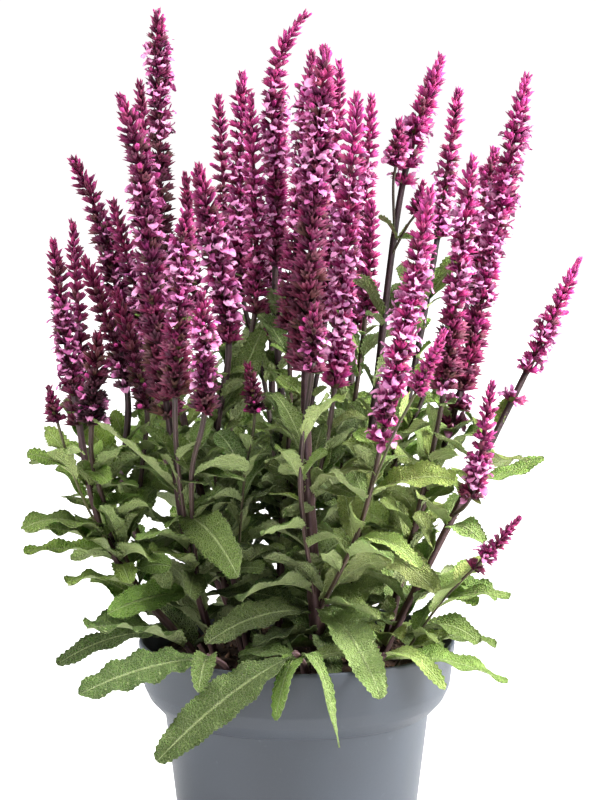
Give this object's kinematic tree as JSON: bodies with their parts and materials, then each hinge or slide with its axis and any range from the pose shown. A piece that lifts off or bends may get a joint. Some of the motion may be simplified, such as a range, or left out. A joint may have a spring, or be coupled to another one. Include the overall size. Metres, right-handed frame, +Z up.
{
  "type": "potted perennial salvia",
  "caption": "Perennial salvia in a round plastic nursery pot, with leafy square stems that carry upright spikes of magenta florets.",
  "frame": {"origin": "centre of the underside of the pot's floor, on the surface the pot stands on", "axes": "+Z up along the pot's axis, +X to the right and -Y to the front as the picture shows the plant"},
  "size_m": [0.3293, 0.2564, 0.5235],
  "materials": {
    "pot": "satin blue-grey moulded plastic",
    "soil": "rough dark peat compost",
    "leafy": "matt wrinkled green leaves on dark purple stems",
    "flower": "burgundy calyces with pink florets"
  },
  "bodies": {
    "root": {"pot": "pot", "soil": "soil", "spike_back": "flower", "spike_back_left": "flower", "spike_back_left_thin": "flower", "spike_back_middle": "flower", "spike_back_right": "flower", "spike_back_right_side": "flower", "spike_centre": "flower", "spike_centre_front": "flower", "spike_centre_right": "flower", "spike_far_left": "flower", "spike_far_left_back": "flower", "spike_far_left_dark": "flower", "spike_far_left_twig": "flower", "spike_front_bud": "flower", "spike_front_right": "flower", "spike_front_right_bud": "flower", "spike_left_back": "flower", "spike_left_front": "flower", "spike_left_inner": "flower", "spike_left_inner_back": "flower", "spike_left_lean": "flower", "spike_left_main": "flower", "spike_left_outer": "flower", "spike_left_outer_side": "flower", "spike_left_pink": "flower", "spike_left_tall": "flower", "spike_middle_back": "flower", "spike_middle_behind": "flower", "spike_middle_front": "flower", "spike_middle_right": "flower", "spike_middle_tall": "flower", "spike_right_bare": "flower", "spike_right_bare_bud": "flower", "spike_right_bare_seed": "flower", "spike_right_inner": "flower", "spike_right_lean": "flower", "spike_right_lean_bud": "flower", "spike_right_low": "flower", "spike_right_tall": "flower", "stem_back": "leafy", "stem_back_left_thin": "leafy", "stem_back_middle": "leafy", "stem_back_right": "leafy", "stem_centre": "leafy", "stem_far_left": "leafy", "stem_front_low": "leafy", "stem_left_inner": "leafy", "stem_left_lean": "leafy", "stem_left_low": "leafy", "stem_left_main": "leafy", "stem_left_outer": "leafy", "stem_left_tall": "leafy", "stem_middle_tall": "leafy", "stem_right_bare": "leafy", "stem_right_front_low": "leafy", "stem_right_lean": "leafy", "stem_right_low": "leafy", "stem_right_tall": "leafy"}
  },
  "joints": []
}
